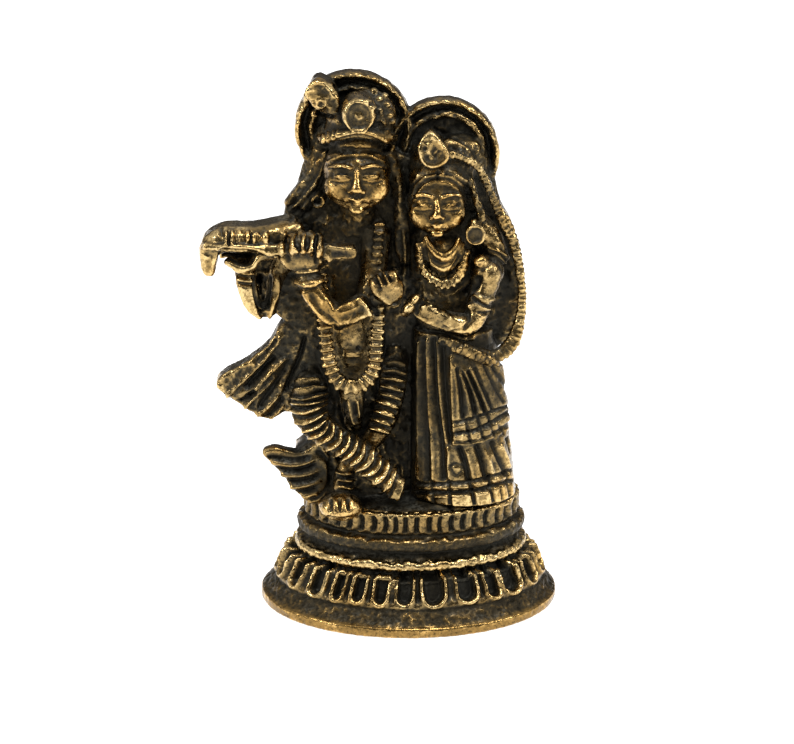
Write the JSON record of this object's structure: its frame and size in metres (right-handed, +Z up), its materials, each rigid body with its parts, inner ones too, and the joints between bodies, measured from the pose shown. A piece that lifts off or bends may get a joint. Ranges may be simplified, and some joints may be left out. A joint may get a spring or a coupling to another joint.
{
  "type": "radha krishna statue",
  "caption": "Small cast brass idol of a flute player and his companion before two haloes, standing on an oval lotus base.",
  "frame": {"origin": "centre of the oval foot, on the flat underside", "axes": "+Z up, the figures face -Y, +X to the viewer's right"},
  "size_m": [0.0451, 0.0286, 0.0695],
  "materials": {
    "brass": "old cast brass, worn bright on the high places and dark in the recesses"
  },
  "bodies": {
    "root": {"radha_krishna_statue": "brass"}
  },
  "joints": []
}
